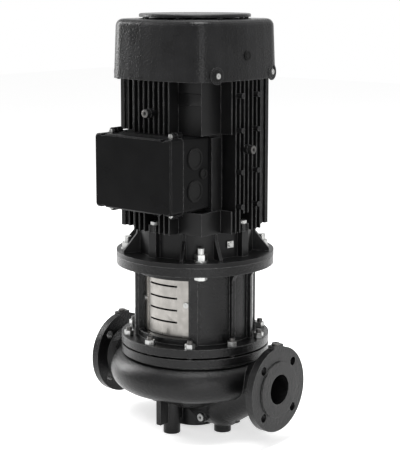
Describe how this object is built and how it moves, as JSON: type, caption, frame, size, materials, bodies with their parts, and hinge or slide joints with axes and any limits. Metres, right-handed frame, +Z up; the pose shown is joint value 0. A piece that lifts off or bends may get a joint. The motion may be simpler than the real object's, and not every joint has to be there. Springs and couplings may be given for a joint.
{
  "type": "single-stage in-line pump",
  "caption": "Vertical in-line centrifugal pump: volute housing between two pipe flanges, motor stool with guarded coupling, finned flange motor with terminal box and fan cover.",
  "frame": {"origin": "on the shaft axis at the base that the four feet stand on", "axes": "+Z up along the shaft, +X out of the suction port, -Y towards the terminal box"},
  "size_m": [0.475, 0.391, 0.923],
  "materials": {
    "casting_paint": "satin black paint on sand-cast iron",
    "motor_paint": "satin black paint on die-cast aluminium",
    "hood_paint": "fine-textured black paint",
    "box_paint": "satin black paint",
    "zinc": "bright zinc plate",
    "dark_stud": "dark oiled steel",
    "stainless_sheet": "brushed stainless steel",
    "ground_steel": "ground steel",
    "bearing_steel": "polished bearing steel",
    "cast_steel": "cast stainless steel",
    "raw_iron": "machined grey iron",
    "copper_winding": "varnished copper winding",
    "lamination": "electrical sheet stack",
    "end_ring": "die-cast aluminium",
    "bronze": "machined bronze",
    "terminal_brass": "plated brass",
    "board_resin": "moulded resin",
    "black_plastic": "moulded plastic",
    "black_rubber": "matt rubber",
    "carbon_face": "lapped carbon",
    "ceramic_face": "lapped ceramic",
    "cage_steel": "pressed cage with polished balls"
  },
  "bodies": {
    "root": {"pump_housing": "casting_paint", "wear_ring": "bronze", "housing_o_ring": "black_rubber", "pump_cover": "casting_paint", "seal_seat": "ceramic_face", "air_vent_screw": "zinc", "drain_plug": "zinc", "gauge_plugs": "dark_stud", "motor_stool": "casting_paint", "housing_studs": "dark_stud", "housing_nuts": "zinc", "coupling_guard_front": "stainless_sheet", "coupling_guard_rear": "stainless_sheet", "guard_screws": "zinc", "drive_end_shield": "motor_paint", "flange_bolts": "zinc", "flange_nuts": "zinc", "flange_washers": "zinc", "shield_screws": "zinc", "earth_terminal": "zinc", "motor_frame": "motor_paint", "lifting_plugs": "black_plastic", "stator_core": "lamination", "stator_windings": "copper_winding", "fan_end_shield": "motor_paint", "fan_shield_screws": "zinc", "fan_cover": "hood_paint", "fan_cover_screws": "zinc", "fan_cover_cap": "hood_paint", "inlet_grille": "black_plastic", "cover_plug": "black_plastic", "terminal_box_base": "box_paint", "terminal_box_gasket": "black_rubber", "terminal_box_lid": "box_paint", "lid_screws": "zinc", "terminal_board": "board_resin", "terminal_studs": "terminal_brass", "cable_plugs": "black_plastic", "drive_bearing_outer": "bearing_steel", "fan_bearing_outer": "bearing_steel", "drive_bearing_cap": "motor_paint"},
    "rotor": {"motor_shaft": "ground_steel", "rotor_core": "lamination", "rotor_end_rings": "end_ring", "coupling_half_front": "raw_iron", "coupling_half_rear": "raw_iron", "coupling_bolts": "dark_stud", "pump_shaft": "ground_steel", "impeller": "cast_steel", "impeller_nut": "ground_steel", "impeller_key": "ground_steel", "seal_ring": "carbon_face", "seal_spring": "ground_steel", "drive_bearing_inner": "bearing_steel", "fan_bearing_inner": "bearing_steel", "fan": "black_plastic", "fan_circlip": "dark_stud"},
    "drive_cage": {"drive_bearing_cage": "cage_steel"},
    "fan_cage": {"fan_bearing_cage": "cage_steel"}
  },
  "joints": [
    {"name": "rotor_spin", "type": "hinge", "parent": "root", "child": "rotor", "pos_m": [0, 0, 0.4], "axis": [0, 0, 1], "continuous": true},
    {"name": "drive_cage_spin", "type": "hinge", "parent": "root", "child": "drive_cage", "pos_m": [0, 0, 0.4375], "axis": [0, 0, 1], "continuous": true},
    {"name": "fan_cage_spin", "type": "hinge", "parent": "root", "child": "fan_cage", "pos_m": [0, 0, 0.76], "axis": [0, 0, 1], "continuous": true}
  ],
  "couplings": [
    {"joint": "drive_cage_spin", "follows": "rotor_spin", "ratio": 0.38},
    {"joint": "fan_cage_spin", "follows": "rotor_spin", "ratio": 0.4}
  ]
}
